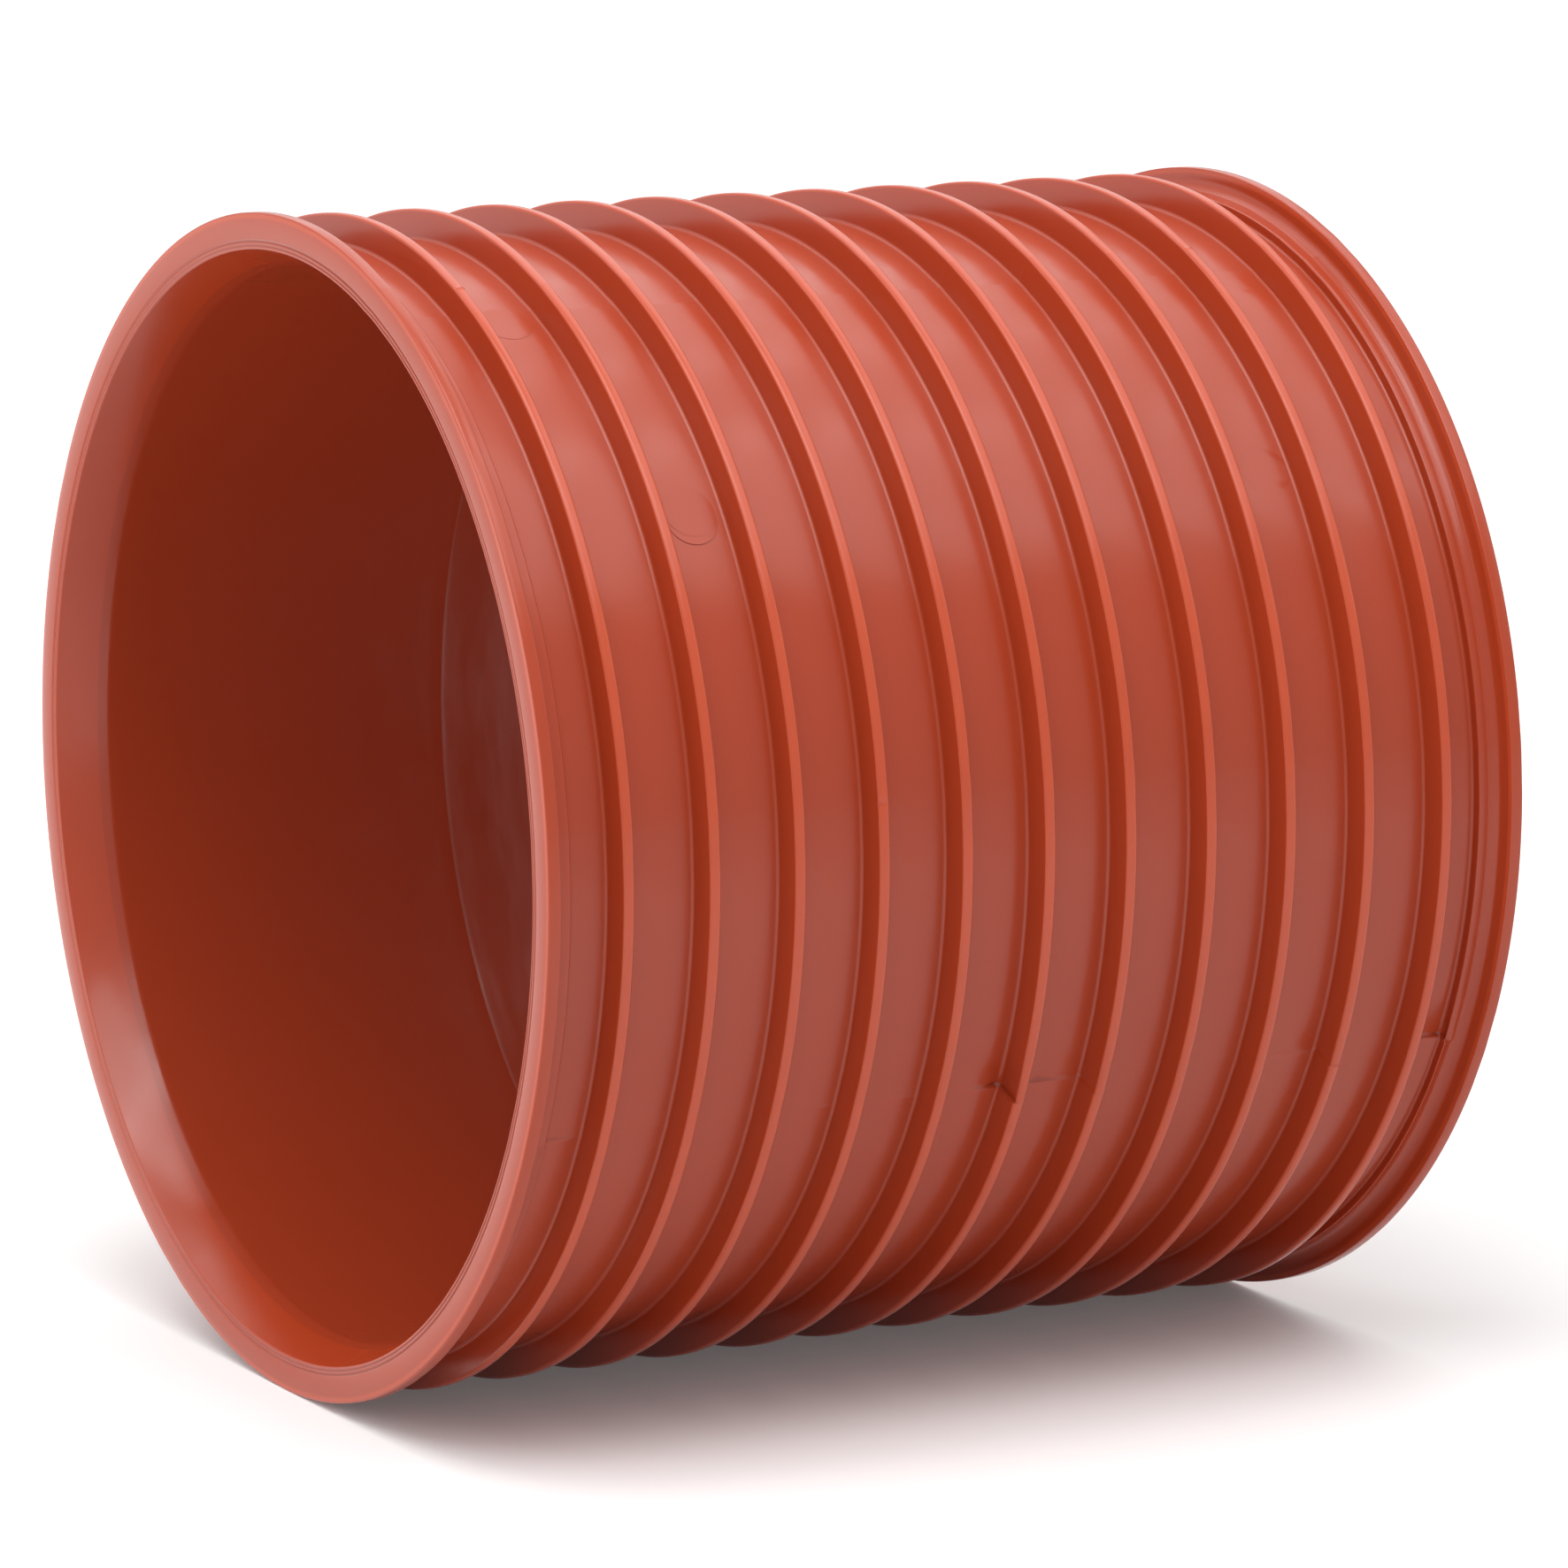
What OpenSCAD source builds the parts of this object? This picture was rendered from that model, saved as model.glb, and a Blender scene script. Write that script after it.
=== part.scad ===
// Ribbed sleeve coupling for large drain pipe, one moulded piece.
// Millimetres. The pipe axis is X, +Z is up, and the origin is the middle of the axis.
// The coupling lies on the two rims at its ends.

/* [Bore] */
// bore diameter, a 315 pipe with 1 mm of play a side
bore_d = 317; // [200:1:450]
// whole length along the axis
length = 319; // [150:1:600]
// wall between the bore and the valleys
wall = 5.4; // [5:0.1:12]

/* [Lead-in] */
// depth of the cone inside each mouth
lead_depth = 16.1; // [4:0.1:40]
// how far the cone opens the mouth, on the radius
lead_rise = 4.8; // [1:0.1:5]

/* [Ribs] */
// number of tall ribs, spread evenly between the shoulders
rib_count = 11; // [3:1:16]
// open valley between a shoulder and the first rib
end_gap = 12.2; // [6:0.1:30]
// rib height over the valleys
rib_height = 8.9; // [6:0.1:16]
// rib thickness at the crest
rib_top = 3.4; // [2:0.1:8]
// how much thicker the rib is low down, each side
rib_draft = 0.6; // [0:0.1:1.5]
// radius in the corners at the foot of ribs and shoulders
rib_foot = 1.5; // [0.5:0.1:3]

/* [Ends] */
// how far the end rims stand over the ribs
rim_rise = 1.2; // [0.2:0.1:4]
// width of the end rim
rim_width = 4.5; // [3:0.1:8]
// height of the shoulder step over the valleys
shoulder_height = 4.0; // [2:0.1:7]
// width of the shoulder step
shoulder_width = 7.0; // [3:0.1:14]
// radius in the corner between shoulder and rim
rim_foot = 4.0; // [1:0.1:6]

/* [Face] */
// width of the lowered ring round the mouth
lip_width = 2.9; // [1:0.1:3.6]
// depth of the lowered ring
lip_step = 0.4; // [0.1:0.05:1]

/* [Edges] */
// bevel on outer edges
edge_break = 0.4; // [0.1:0.05:0.8]

/* [Hidden] */
$fn = 96;
half = length / 2;
bore_r = bore_d / 2;
mouth_r = bore_r + lead_rise;
lip_r = mouth_r + lip_width;
valley_r = bore_r + wall;
shoulder_r = valley_r + shoulder_height;
crest_r = valley_r + rib_height;
rim_r = crest_r + rim_rise;
rim_in = half - rim_width;
shoulder_in = rim_in - shoulder_width;
first_rib = -(shoulder_in - end_gap - rib_top / 2);
rib_pitch = -2 * first_rib / (rib_count - 1);

// a foot's curve stays inside the walls that it joins, with this much flat left beside it
flat = 0.1;
shoulder_foot = min(rib_foot, shoulder_height - edge_break - flat);
rim_curve = min(rim_foot, shoulder_width - edge_break - flat, rim_r - shoulder_r - edge_break - flat);
climb = [0 : 30 : 90];
fall = [90 : -30 : 0];

// hollow quarter round between a floor at radius r and a wall at x; side says where the floor lies
function foot(r, x, size, side, angles) =
    [for (a = angles) [r + size * (1 - cos(a)), x + side * size * (1 - sin(a))]];

// outline of the end step at the low end, from the face to the first valley
function end_low() = concat(
    [
        [lip_r, -half],
        [rim_r - edge_break, -half],
        [rim_r, -half + edge_break],
        [rim_r, -rim_in - edge_break],
        [rim_r - edge_break, -rim_in]
    ],
    foot(shoulder_r, -rim_in, rim_curve, 1, fall),
    [
        [shoulder_r, -shoulder_in - edge_break],
        [shoulder_r - edge_break, -shoulder_in]
    ],
    foot(valley_r, -shoulder_in, shoulder_foot, 1, fall)
);

// outline of one rib whose middle is at x
function rib_at(x) = concat(
    foot(valley_r, x - rib_top / 2 - rib_draft, rib_foot, -1, climb),
    [
        [crest_r - edge_break, x - rib_top / 2],
        [crest_r, x - rib_top / 2 + edge_break],
        [crest_r, x + rib_top / 2 - edge_break],
        [crest_r - edge_break, x + rib_top / 2]
    ],
    foot(valley_r, x + rib_top / 2 + rib_draft, rib_foot, 1, fall)
);

// the same outline seen from the other end
function flipped(list) = [for (i = [len(list) - 1 : -1 : 0]) [list[i][0], -list[i][1]]];

// outline of the mouth at the low end, from the bore to the face
function mouth_low() = [
    [bore_r, -half + lead_depth],
    [mouth_r, -half + lip_step],
    [lip_r, -half + lip_step]
];

module coupling() {
    section = concat(
        mouth_low(),
        end_low(),
        [for (i = [0 : rib_count - 1], p = rib_at(first_rib + i * rib_pitch)) p],
        flipped(end_low()),
        flipped(mouth_low())
    );
    color([0.68, 0.25, 0.18])
        rotate([0, 90, 0])
            rotate_extrude($fn = 180)
                polygon(section);
}

coupling();
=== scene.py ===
import bpy, bmesh, math
from mathutils import Matrix, Vector, noise


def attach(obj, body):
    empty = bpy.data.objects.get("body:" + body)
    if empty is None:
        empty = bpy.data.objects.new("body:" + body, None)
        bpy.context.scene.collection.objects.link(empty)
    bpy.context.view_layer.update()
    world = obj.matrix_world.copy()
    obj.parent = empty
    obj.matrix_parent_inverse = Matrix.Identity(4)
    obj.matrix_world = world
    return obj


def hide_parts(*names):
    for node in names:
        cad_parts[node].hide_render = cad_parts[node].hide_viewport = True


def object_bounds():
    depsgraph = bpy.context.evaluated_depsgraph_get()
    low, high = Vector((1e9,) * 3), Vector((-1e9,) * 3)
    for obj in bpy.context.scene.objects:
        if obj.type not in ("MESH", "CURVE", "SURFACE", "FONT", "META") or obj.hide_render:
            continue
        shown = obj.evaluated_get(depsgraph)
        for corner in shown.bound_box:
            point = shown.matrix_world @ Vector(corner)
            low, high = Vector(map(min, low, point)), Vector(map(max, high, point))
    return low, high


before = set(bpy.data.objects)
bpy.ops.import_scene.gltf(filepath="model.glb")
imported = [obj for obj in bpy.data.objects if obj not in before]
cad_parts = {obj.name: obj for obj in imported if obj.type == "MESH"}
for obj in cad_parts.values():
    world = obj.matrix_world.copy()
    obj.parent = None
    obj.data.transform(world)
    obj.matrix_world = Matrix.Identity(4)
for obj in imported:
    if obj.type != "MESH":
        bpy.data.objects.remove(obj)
cadBox = [[float(v) for v in corner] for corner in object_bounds()]
mm = 0.001


# camera, from the fit of the photo's rings
cameraValues = {
    "place": (-1.0580, -1.9386, 0.3704),   # metres, axis of the coupling is z = 0
    "forward": (0.47537, 0.86364, -0.16777),
    "lens": 170.28,                        # on a 36 mm wide sensor
}


def makeCamera(v):
    data = bpy.data.cameras.new("photoCamera")
    data.sensor_width = 36.0
    data.lens = v["lens"]
    data.clip_end = 100.0
    cam = bpy.data.objects.new("photoCamera", data)
    forward = Vector(v["forward"]).normalized()
    right = forward.cross(Vector((0, 0, 1))).normalized()
    up = right.cross(forward)
    turn = Matrix((right, up, -forward)).transposed().to_4x4()
    cam.matrix_world = Matrix.Translation(v["place"]) @ turn
    bpy.context.scene.collection.objects.link(cam)
    bpy.context.scene.camera = cam
    return cam


camera = makeCamera(cameraValues)
print("camera stands")


# materials
def linearFromHex(text):
    text = text.lstrip("#")
    parts = [int(text[i:i + 2], 16) / 255 for i in (0, 2, 4)]
    return tuple(p / 12.92 if p <= 0.04045 else ((p + 0.055) / 1.055) ** 2.4 for p in parts) + (1.0,)


def addNode(tree, kind, settings=None, inputs=None, links=None):
    # settings go on the node, inputs are fixed values, links are (socket, source node, output)
    node = tree.nodes.new(kind)
    for key, value in (settings or {}).items():
        setattr(node, key, value)
    for key, value in (inputs or {}).items():
        node.inputs[key].default_value = value
    for key, source, output in (links or []):
        tree.links.new(source.outputs[output], node.inputs[key])
    return node


def newMaterial(name):
    mat = bpy.data.materials.new(name)
    mat.use_nodes = True
    mat.node_tree.nodes.clear()
    return mat, mat.node_tree


plasticValues = {
    "deep": "#A0391C",      # pigment in the thick parts
    "pale": "#A73D1F",      # slightly washed by flow marks
    "roughLow": 0.18,
    "roughHigh": 0.26,
    "paintedCrestLight": "#B84828",    # crests of the ribs painted paler: a painted highlight for the light the crests catch and the valleys miss
    "paintedBoreShade": "#98381F",       # the bore painted a little darker and greyer: painted shade inside it
    "crests": (171.8, 172.7, 173.3, 173.6),     # mm from the axis where the crests' painted highlight begins, is full, is still full, is gone
    "ripples": (110.0, 40.0, 40.0),     # per metre along the axis and round it, inside the bore
    "grain": 900.0,         # bump cells per metre, about 1.1 mm orange peel
    "ior": 1.46,
}


def mouldedPolypropylene(v):
    # brick-red polypropylene, injection-moulded: a satin skin that mirrors soft boxes in broad
    # blurred bands, with faint flow clouds and a fine orange peel from the mould's surface
    mat, tree = newMaterial("mouldedPolypropylene")
    place = addNode(tree, "ShaderNodeTexCoord")
    clouds = addNode(tree, "ShaderNodeTexNoise", inputs={"Scale": 14.0, "Detail": 4.0, "Roughness": 0.55},
                     links=[("Vector", place, "Object")])
    tint = addNode(tree, "ShaderNodeMix", {"data_type": "RGBA"},
                   links=[(0, clouds, "Fac")])
    tint.inputs[6].default_value = linearFromHex(v["deep"])
    tint.inputs[7].default_value = linearFromHex(v["pale"])
    scuff = addNode(tree, "ShaderNodeTexNoise", inputs={"Scale": 60.0, "Detail": 6.0, "Roughness": 0.6},
                    links=[("Vector", place, "Object")])
    rough = addNode(tree, "ShaderNodeMapRange", inputs={"From Min": 0.3, "From Max": 0.7,
                    "To Min": v["roughLow"], "To Max": v["roughHigh"]}, links=[("Value", scuff, "Fac")])
    grain = addNode(tree, "ShaderNodeTexNoise", inputs={"Scale": v["grain"], "Detail": 2.0},
                    links=[("Vector", place, "Object")])
    bump = addNode(tree, "ShaderNodeBump", inputs={"Strength": 0.06, "Distance": 0.2 * mm},
                   links=[("Height", grain, "Fac")])
    across = addNode(tree, "ShaderNodeVectorMath", {"operation": "MULTIPLY"}, links=[(0, place, "Object")])
    across.inputs[1].default_value = (0, 1000, 1000)
    radius = addNode(tree, "ShaderNodeVectorMath", {"operation": "LENGTH"}, links=[(0, across, 0)])
    stretched = addNode(tree, "ShaderNodeVectorMath", {"operation": "MULTIPLY"}, links=[(0, place, "Object")])
    stretched.inputs[1].default_value = v["ripples"]
    waves = addNode(tree, "ShaderNodeTexNoise", inputs={"Scale": 1.0, "Detail": 2.0},
                    links=[("Vector", stretched, 0)])
    inBore = addNode(tree, "ShaderNodeMapRange", inputs={"From Min": 158.7, "From Max": 159.5, "To Min": 0.15,
                     "To Max": 0.0}, links=[("Value", radius, "Value")])
    relief = addNode(tree, "ShaderNodeBump", inputs={"Distance": 1.0 * mm},
                     links=[("Strength", inBore, "Result"), ("Height", waves, "Fac"), ("Normal", bump, "Normal")])
    # painted shade: inside the bore the colour turns a little darker and greyer
    paintedBoreShade = addNode(tree, "ShaderNodeMix", {"data_type": "RGBA"}, links=[(6, tint, 2)])
    paintedBoreShade.inputs[7].default_value = linearFromHex(v["paintedBoreShade"])
    inside = addNode(tree, "ShaderNodeMath", {"operation": "LESS_THAN"}, {1: 159.5}, [(0, radius, "Value")])
    tree.links.new(inside.outputs[0], paintedBoreShade.inputs[0])
    # painted highlight: the rib crests get a paler colour, mottled by the scuff noise
    low, lowFull, highFull, high = v["crests"]
    begins = addNode(tree, "ShaderNodeMapRange", inputs={"From Min": low, "From Max": lowFull},
                     links=[("Value", radius, "Value")])
    ends = addNode(tree, "ShaderNodeMapRange", inputs={"From Min": highFull, "From Max": high, "To Min": 1.0,
                   "To Max": 0.0}, links=[("Value", radius, "Value")])
    onCrest = addNode(tree, "ShaderNodeMath", {"operation": "MULTIPLY"},
                      links=[(0, begins, "Result"), (1, ends, "Result")])
    patchy = addNode(tree, "ShaderNodeMapRange", inputs={"From Min": 0.3, "From Max": 0.7, "To Min": 0.8,
                     "To Max": 1.0}, links=[("Value", scuff, "Fac")])
    paintedCrestLight = addNode(tree, "ShaderNodeMath", {"operation": "MULTIPLY"},
                     links=[(0, onCrest, 0), (1, patchy, "Result")])
    paint = addNode(tree, "ShaderNodeMix", {"data_type": "RGBA"}, links=[(0, paintedCrestLight, 0), (6, paintedBoreShade, 2)])
    paint.inputs[7].default_value = linearFromHex(v["paintedCrestLight"])
    skin = addNode(tree, "ShaderNodeBsdfPrincipled", inputs={"IOR": v["ior"]},
                   links=[("Base Color", paint, 2), ("Roughness", rough, "Result"), ("Normal", relief, "Normal")])
    addNode(tree, "ShaderNodeOutputMaterial", links=[("Surface", skin, "BSDF")])
    return mat


plastic = mouldedPolypropylene(plasticValues)
print("plastic mixed")


# the coupling
couplingValues = {
    "half": 159.5,          # mm from the middle to a face
    "bore": 158.5,          # radii
    "mouth": 163.3,
    "lip": 166.2,
    "valley": 163.9,
    "shoulder": 166.9,
    "crest": 172.8,
    "rim": 174.0,
    "leadDepth": 16.1,
    "lipStep": 0.2,
    "rimWidth": 3.9,
    "rimFoot": 4.0,
    "shoulderWidth": 6.6,
    "endGap": 13.2,
    "ribTop": 3.4,
    "ribDraft": 0.6,
    "ribFoot": 1.0,
    "ribCount": 11,
    "sink": 0.08,           # how far the bore falls back behind each rib
    "coreLine": -28.4,      # where the two halves of the core met
    "steps": 240,           # round the axis
}

seamValues = {
    "angles": (24.1, 115.7, 204.8, 295.2),      # degrees from the top towards the camera, four slides
    "close": 0.10,          # degrees from a seam to the columns beside it
    "far": 0.5,
    "height": 0.035,        # mm
    # where the slides met badly: place along the axis, reach, step up below the seam, dent above it
    "steps": ((-6.4, 6.4, 0.45, 0.50), (-3.0, 3.4, 0.25, 1.50), (10.6, 5.8, 0.10, 1.10), (17.0, 8.0, 0.08, 0.45),
              (24.6, 3.0, 0.15, 0.40), (106.4, 3.4, 0.20, 0.50), (148.2, 3.2, 0.15, 1.10), (-58.0, 2.0, 0.05, 0.15),
              (-31.2, 2.0, 0.05, 0.20)),
    "cuts": (-12.0, -10.2, -8.6, -7.2, -6.0, -5.0, 7.6, 9.4, 11.4, 13.6, 16.0, 18.4, 20.6, 22.4),   # valley floor
    "ticks": (-133.2, 108.3),                   # small knocks where the upper seam crosses a crest
}

nickValues = {"angle": 83.7, "close": 0.3, "far": 0.7, "rib": 3, "depth": 0.55}


def ribMiddles(v):
    first = v["half"] - v["rimWidth"] - v["shoulderWidth"] - v["endGap"] - v["ribTop"] / 2
    pitch = 2 * first / (v["ribCount"] - 1)
    return [-first + i * pitch for i in range(v["ribCount"])], pitch


def boreCorners(v):
    # from the far lead-in back to the near one: sinks behind the ribs, and the core's line
    middles, pitch = ribMiddles(v)
    points = []
    for x in middles:
        for share, depth in ((-0.5, 0.0), (-0.25, 0.5), (0.0, 1.0), (0.25, 0.5)):
            points.append((x + share * pitch, v["bore"] + v["sink"] * depth, 0))
    line = v["coreLine"]
    points = [p for p in points if abs(p[0] - line) > 1.5 and abs(p[0]) < v["half"] - v["leadDepth"] - 4]
    points += [(line - 0.3, v["bore"] + 0.01, 0), (line, v["bore"] - 0.03, 0), (line + 0.3, v["bore"] + 0.01, 0)]
    return sorted(points, reverse=True)


def profileCorners(v):
    # corners of the wall's section as (x, radius, rounding), all mm, from the near mouth to the far one
    h = v["half"]
    rimIn = h - v["rimWidth"]
    shoulderIn = rimIn - v["shoulderWidth"]
    nearEnd = [
        (-h + v["leadDepth"], v["bore"], 0.8), (-h + v["lipStep"], v["mouth"], 0.5),
        (-h + v["lipStep"], 164.25, 0), (-h + v["lipStep"] + 0.45, 164.3, 0), (-h + v["lipStep"], 164.75, 0),
        (-h + v["lipStep"], 165.5, 0), (-h + v["lipStep"] + 0.45, 165.55, 0), (-h, v["lip"], 0.15),
        (-h, v["rim"], 0.6),
        (-rimIn, v["rim"], 0.5), (-rimIn, v["shoulder"], v["rimFoot"]),
        (-shoulderIn - 2.9, v["shoulder"], 0), (-shoulderIn - 2.2, v["shoulder"], 0),
        (-shoulderIn - 1.5, v["shoulder"], 0), (-shoulderIn, v["shoulder"], 0.45),
        (-shoulderIn, v["valley"], v["ribFoot"]), (-shoulderIn + 1.8, v["valley"], 0)]
    ribs = []
    middles, pitch = ribMiddles(v)
    for x in middles:
        foot, top = v["ribTop"] / 2 + v["ribDraft"], v["ribTop"] / 2
        ribs += [(cut, v["valley"], 0) for cut in seamValues["cuts"] if 0 < x - cut < pitch - 4]
        ribs += [(x - foot, v["valley"], v["ribFoot"]), (x - top, v["crest"], 0.9),
                 (x + top, v["crest"], 0.9), (x + foot, v["valley"], v["ribFoot"])]
    farEnd = [(-x, r, c) for x, r, c in reversed(nearEnd)]
    return nearEnd + ribs + farEnd + boreCorners(v)


def hump(x, middle, reach):
    # smooth bump of height 1, gone beyond its reach
    s = min(abs(x - middle) / reach, 1.0)
    return (1 - s * s) ** 2


def angleOf(place):
    return math.degrees(math.atan2(-place.y, place.z)) % 360


def gatherColumns(bm, steps, angle, close, far):
    # moves two columns on each side of this angle to stand close and far degrees from it
    step = 360 / steps
    middle = round(angle / step)
    stands = {0: 0, 1: close, -1: -close, 2: far, -2: -far}
    for vert in bm.verts:
        here = angleOf(vert.co)
        away = round(here / step) - middle
        if away in stands:
            vert.co = Matrix.Rotation(math.radians(angle + stands[away] - here), 3, "X") @ vert.co


def raiseSeams(bm, v, s):
    # a fine ridge along each seam of the slides, with a ledge where they met badly
    bm.normal_update()
    for vert in bm.verts:
        radius = math.hypot(vert.co.y, vert.co.z) / mm
        x = vert.co.x / mm
        if radius < v["valley"] - 0.1 or abs(x) > v["half"] - 1:
            continue
        for seam in s["angles"]:
            away = (angleOf(vert.co) - seam + 180) % 360 - 180
            if abs(away) > s["far"] * 1.5:
                continue
            rise = 0.0
            if abs(away) < s["close"] / 2:
                rise = s["height"] * (0.7 + 0.9 * noise.noise(Vector((x * 0.15, seam, 0))))
                if seam == s["angles"][0] and radius > v["crest"] - 0.6:
                    rise += 0.25 * max(hump(x, tick, 1.2) for tick in s["ticks"])
            if seam == s["angles"][1]:
                for place, reach, up, down in s["steps"]:
                    share = 1.0 if abs(away) < s["close"] * 1.5 else 0.45
                    rise += hump(x, place, reach) * share * (-down if away < -s["close"] / 2 else up)
            vert.co += vert.normal * rise * mm


def softenShoulders(bm, v, s):
    # the lower slide is worn: there the foot of each shoulder is filled and its top has a shallow groove
    inner = v["half"] - v["rimWidth"] - v["shoulderWidth"]
    for vert in bm.verts:
        radius = math.hypot(vert.co.y, vert.co.z) / mm
        angle = angleOf(vert.co)
        away = abs(vert.co.x) / mm
        if v["valley"] - 0.1 < radius < v["rim"] - 2 and s["angles"][1] + 0.02 < angle < s["angles"][2]:
            fill = 0.8 * hump(away, inner - 1.0, 2.6) - 0.25 * hump(away, inner + 2.2, 1.4)
            vert.co.y *= 1 + fill / radius
            vert.co.z *= 1 + fill / radius


def nickCrest(bm, v, n):
    # a knock in the crest of one rib
    middle = ribMiddles(v)[0][n["rib"]]
    for vert in bm.verts:
        radius = math.hypot(vert.co.y, vert.co.z) / mm
        away = abs(angleOf(vert.co) - n["angle"])
        x = vert.co.x / mm
        if radius > v["crest"] - 1.5 and away < n["close"] * 1.5 and abs(x - middle) < v["ribTop"]:
            deep = n["depth"] if away < n["close"] / 2 else n["depth"] * 0.2
            scale = 1 - deep * hump(x, middle - v["ribTop"] / 2, v["ribTop"]) / radius
            vert.co.y *= scale
            vert.co.z *= scale


def makeCoupling(v):
    bm = bmesh.new()
    corners = profileCorners(v)
    ring = [bm.verts.new((x * mm, 0, r * mm)) for x, r, c in corners]
    bm.faces.new(ring)
    # round each corner in the flat section, then spin the section's edge
    for size in sorted({c for x, r, c in corners if c > 0}):
        picked = [vert for vert, (x, r, c) in zip(ring, corners) if c == size]
        parts = 2 if size < 0.2 else 3 if size < 1 else 5 if size < 3 else 7
        bmesh.ops.bevel(bm, geom=picked, offset=size * mm, offset_type="OFFSET", affect="VERTICES",
                        segments=parts, profile=0.5, material=-1)
    bmesh.ops.delete(bm, geom=list(bm.faces), context="FACES_ONLY")
    bmesh.ops.spin(bm, geom=bm.verts[:] + bm.edges[:], cent=(0, 0, 0), axis=(1, 0, 0), dvec=(0, 0, 0),
                   angle=2 * math.pi, steps=v["steps"], use_merge=True, use_duplicate=False)
    bmesh.ops.remove_doubles(bm, verts=bm.verts, dist=0.001 * mm)
    bmesh.ops.recalc_face_normals(bm, faces=bm.faces)
    for seam in seamValues["angles"]:
        gatherColumns(bm, v["steps"], seam, seamValues["close"], seamValues["far"])
    gatherColumns(bm, v["steps"], nickValues["angle"], nickValues["close"], nickValues["far"])
    softenShoulders(bm, v, seamValues)
    raiseSeams(bm, v, seamValues)
    nickCrest(bm, v, nickValues)
    return finishPiece(bm, "couplingBody")


def finishPiece(bm, name):
    mesh = bpy.data.meshes.new(name)
    bm.to_mesh(mesh)
    bm.free()
    for face in mesh.polygons:
        face.use_smooth = True
    mesh.materials.append(plastic)
    piece = bpy.data.objects.new(name, mesh)
    bpy.context.scene.collection.objects.link(piece)
    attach(piece, "root")
    return piece


body = makeCoupling(couplingValues)
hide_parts("coupling")
print("coupling turned:", len(body.data.polygons), "faces")


# round marks that the mould's pins left on the valley floors, each a hairline ring
coinValues = {
    "radius": 7.9,          # mm
    "hairline": 0.90,       # width of the ring
    # valley counted in ribs, degrees from the top, stand at the middle, lean round the axis and along it
    "places": ((0.5, 26.2, 0.06, 0.2, 0.0), (1.52, 53.0, 0.10, -0.5, 0.0), (1.52, 53.9, 0.04, -1.0, 0.0),
               (8.6, 53.1, 0.0, 0.2, 0.0), (9.5, 26.8, -0.02, 0.2, 0.0)),
}


def makeCoin(v, body, spot, name):
    valley, angle, stand, leanRound, leanAlong = spot
    middles, pitch = ribMiddles(body)
    bm = bmesh.new()
    bmesh.ops.create_circle(bm, cap_ends=True, segments=96, radius=v["radius"] * mm)
    bmesh.ops.translate(bm, verts=bm.verts, vec=(0, 0, -0.3 * mm))
    for face in bm.faces:
        if face.normal.z < 0:
            face.normal_flip()
    # up to the hairline, over it, and then flat rings to the middle
    for thickness, depth in ((0.15, 0.35), (v["hairline"] / 2, 0.22), (v["hairline"] / 2, -0.25), (0.5, 0),
                             (2.2, 0), (2.2, 0), (2.2, 0)):
        cap = max(bm.faces, key=lambda face: len(face.verts))
        bmesh.ops.inset_region(bm, faces=[cap], thickness=thickness * mm, depth=depth * mm)
    # lean it a little and bend it round the valley floor
    for vert in bm.verts:
        x, y, z = vert.co / mm
        lift = stand + y * math.tan(math.radians(leanRound)) + x * math.tan(math.radians(leanAlong))
        turn = Matrix.Rotation(math.radians(angle) - y / body["valley"], 3, "X")
        vert.co = turn @ Vector((x + middles[0] + valley * pitch, 0, body["valley"] + z + lift)) * mm
    return finishPiece(bm, name)


for number, spot in enumerate(coinValues["places"]):
    makeCoin(coinValues, couplingValues, spot, "pinMark" + str(number + 1))
print("pin marks set")


# stage
stageValues = {
    "floor": "#EEEEEE",
    "floorSize": 30.0,
    "floorGlow": (0.08, 0.62),      # added for the camera and in reflections, weak beside the coupling and strong far away: painted shade round the coupling
}


def backgroundRay(tree, ray):
    # 1 where a ray sees the background: straight, in a mirror or through glass
    shiny = addNode(tree, "ShaderNodeMath", {"operation": "MAXIMUM"},
                    links=[(0, ray, "Is Glossy Ray"), (1, ray, "Is Transmission Ray")])
    return addNode(tree, "ShaderNodeMath", {"operation": "MAXIMUM"},
                   links=[(0, ray, "Is Camera Ray"), (1, shiny, 0)])


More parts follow.
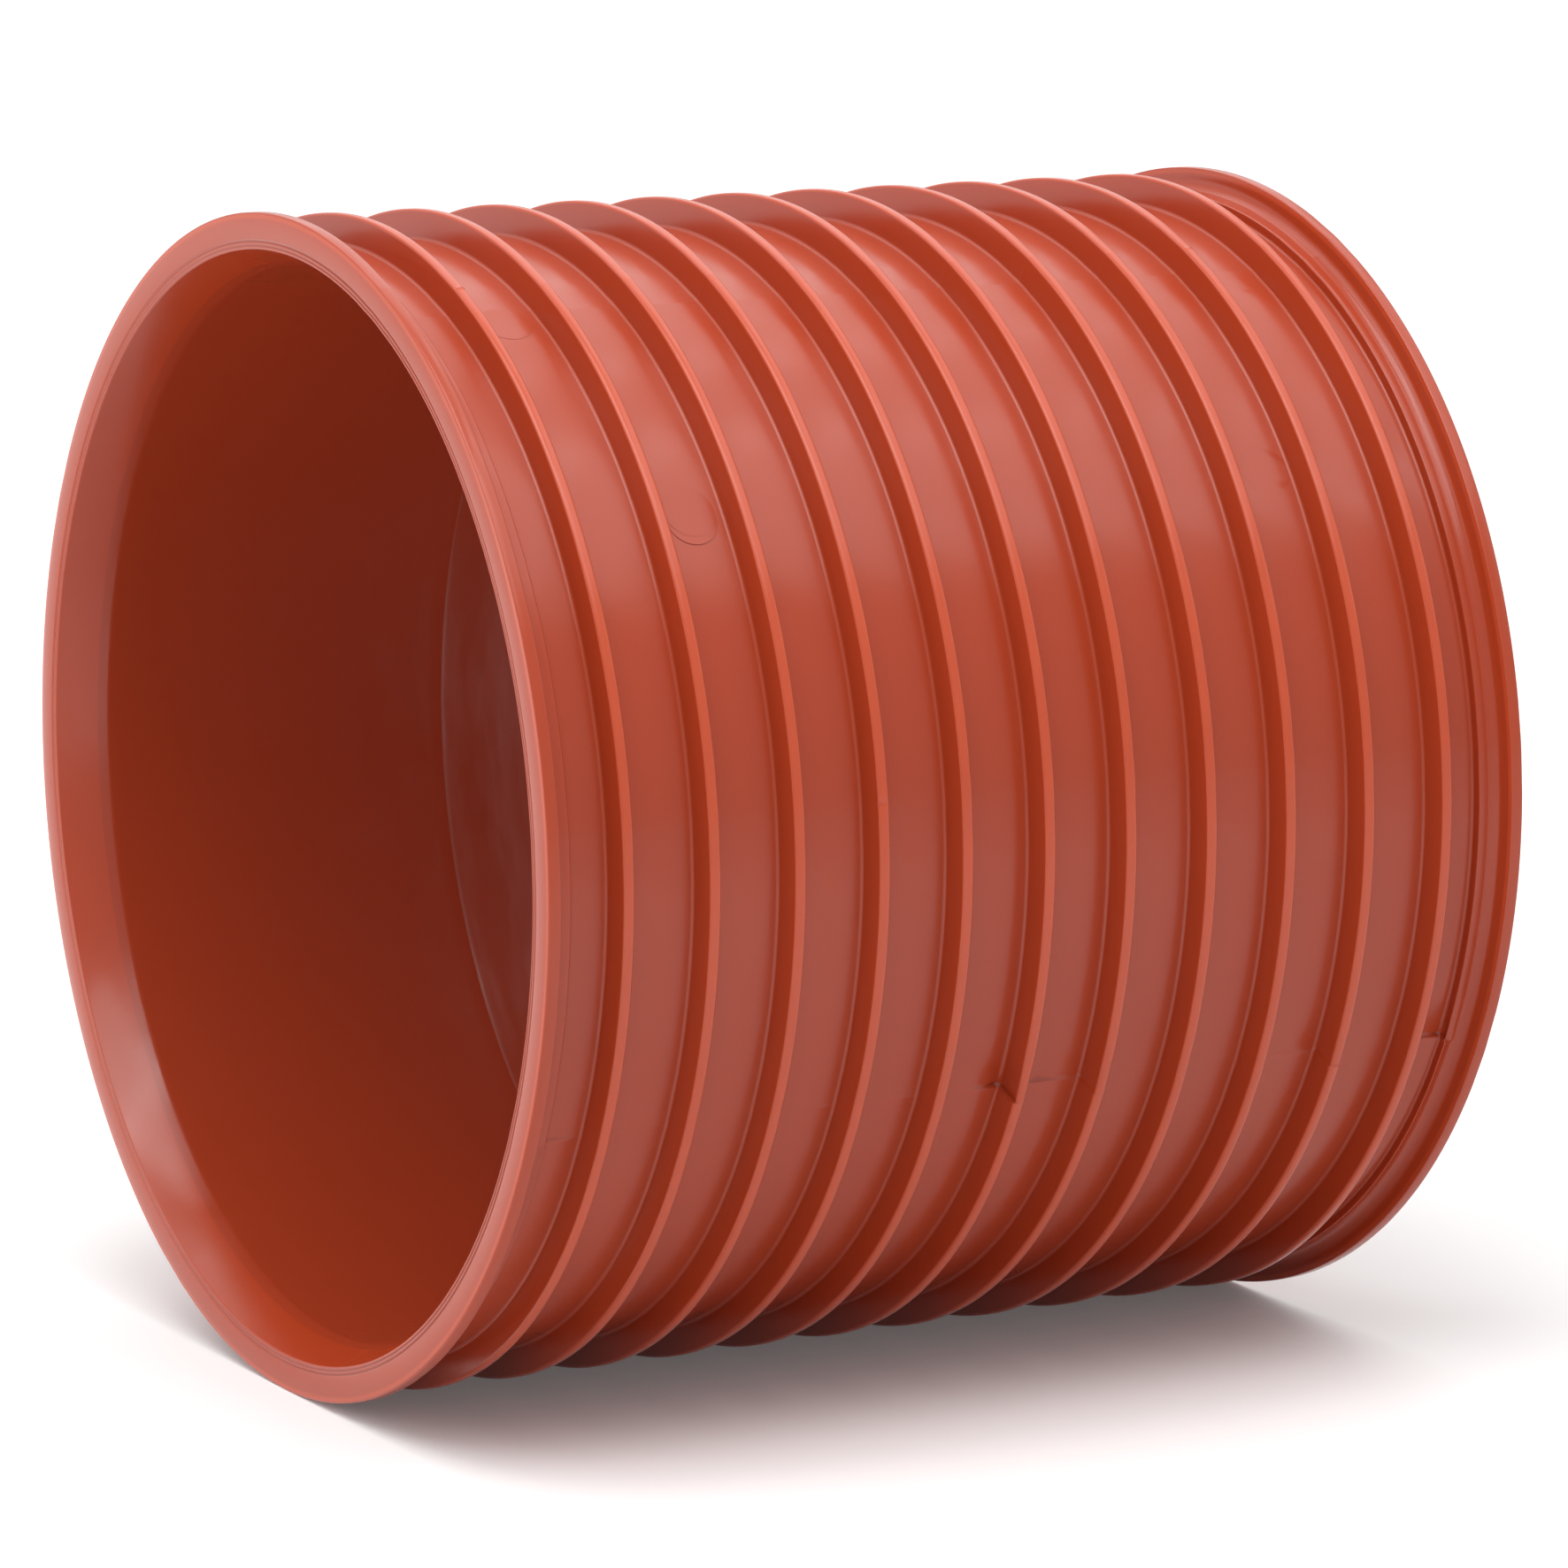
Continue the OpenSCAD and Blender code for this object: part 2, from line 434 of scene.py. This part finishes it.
def makeStage(v):
    bm = bmesh.new()
    bmesh.ops.create_grid(bm, x_segments=1, y_segments=1, size=v["floorSize"])
    bmesh.ops.translate(bm, verts=bm.verts, vec=(0, 0, cadBox[0][2]))
    mesh = bpy.data.meshes.new("studioFloor")
    bm.to_mesh(mesh)
    bm.free()
    mat, tree = newMaterial("paleStudioPaper")
    ray = addNode(tree, "ShaderNodeLightPath")
    paper = addNode(tree, "ShaderNodeBsdfDiffuse", inputs={"Color": linearFromHex(v["floor"])})
    glow = addNode(tree, "ShaderNodeEmission", inputs={"Color": (1, 1, 1, 1)})
    place = addNode(tree, "ShaderNodeTexCoord")
    away = addNode(tree, "ShaderNodeVectorMath", {"operation": "LENGTH"}, links=[(0, place, "Object")])
    nearGlow, farGlow = v["floorGlow"]
    # painted shade: the glow fades towards the coupling, darkening the floor round it and its reflection in the
    # underside
    reach = addNode(tree, "ShaderNodeMapRange", inputs={"From Min": 0.3, "From Max": 3.0, "To Min": nearGlow,
                    "To Max": farGlow}, links=[("Value", away, "Value")])
    level = addNode(tree, "ShaderNodeMath", {"operation": "MULTIPLY"},
                    links=[(0, reach, "Result"), (1, backgroundRay(tree, ray), 0)])
    tree.links.new(level.outputs[0], glow.inputs["Strength"])
    both = addNode(tree, "ShaderNodeAddShader", links=[(0, paper, "BSDF"), (1, glow, "Emission")])
    addNode(tree, "ShaderNodeOutputMaterial", links=[("Surface", both, "Shader")])
    mesh.materials.append(mat)
    floor = bpy.data.objects.new("studioFloor", mesh)
    bpy.context.scene.collection.objects.link(floor)


def makeWorld():
    world = bpy.data.worlds.new("studioAir")
    bpy.context.scene.world = world
    world.use_nodes = True
    tree = world.node_tree
    tree.nodes.clear()
    ray = addNode(tree, "ShaderNodeLightPath")
    level = addNode(tree, "ShaderNodeMapRange", inputs={"To Min": 0.65, "To Max": 1.0},
                    links=[("Value", backgroundRay(tree, ray), 0)])
    sky = addNode(tree, "ShaderNodeBackground", links=[("Strength", level, "Result")])
    addNode(tree, "ShaderNodeOutputWorld", links=[("Surface", sky, "Background")])


# a tent of soft panels that all face the coupling
tentValues = {
    "away": 1.9,            # metres from the middle
    "tall": 0.92,
    # degrees above the horizon, width in metres, and then bearing and watts of each panel
    "rings": (
        (78, 0.90, ((225, 9.5), (315, 1.2))),
        (55, 0.90, ((0, 2.7), (45, 2.5), (90, 2.5), (135, 3.0), (180, 4.4), (225, 8.8), (270, 6.4), (315, 4.0))),
        (32, 0.86, ((60, 1.2), (180, 2.6), (330, 1.2))),
        (8, 1.01, ((120, 0.6), (150, 6.2), (180, 4.0)))),
}


def makeTent(v):
    for height, width, panels in v["rings"]:
        for bearing, watts in panels:
            name = "panel" + str(height) + "at" + str(bearing)
            data = bpy.data.lights.new(name, "AREA")
            data.shape = "RECTANGLE"
            data.size, data.size_y = width, v["tall"]
            data.energy = watts
            lamp = bpy.data.objects.new(name, data)
            turn = Matrix.Rotation(math.radians(bearing), 4, "Z") @ Matrix.Rotation(math.radians(-height), 4, "Y")
            place = turn @ Vector((v["away"], 0, 0))
            lamp.matrix_world = Matrix.Translation(place) @ (-place).to_track_quat("-Z", "Y").to_matrix().to_4x4()
            lamp.visible_camera = False
            bpy.context.scene.collection.objects.link(lamp)


makeStage(stageValues)
makeWorld()
makeTent(tentValues)
bpy.context.scene.view_settings.view_transform = "Standard"
print("stage lit")
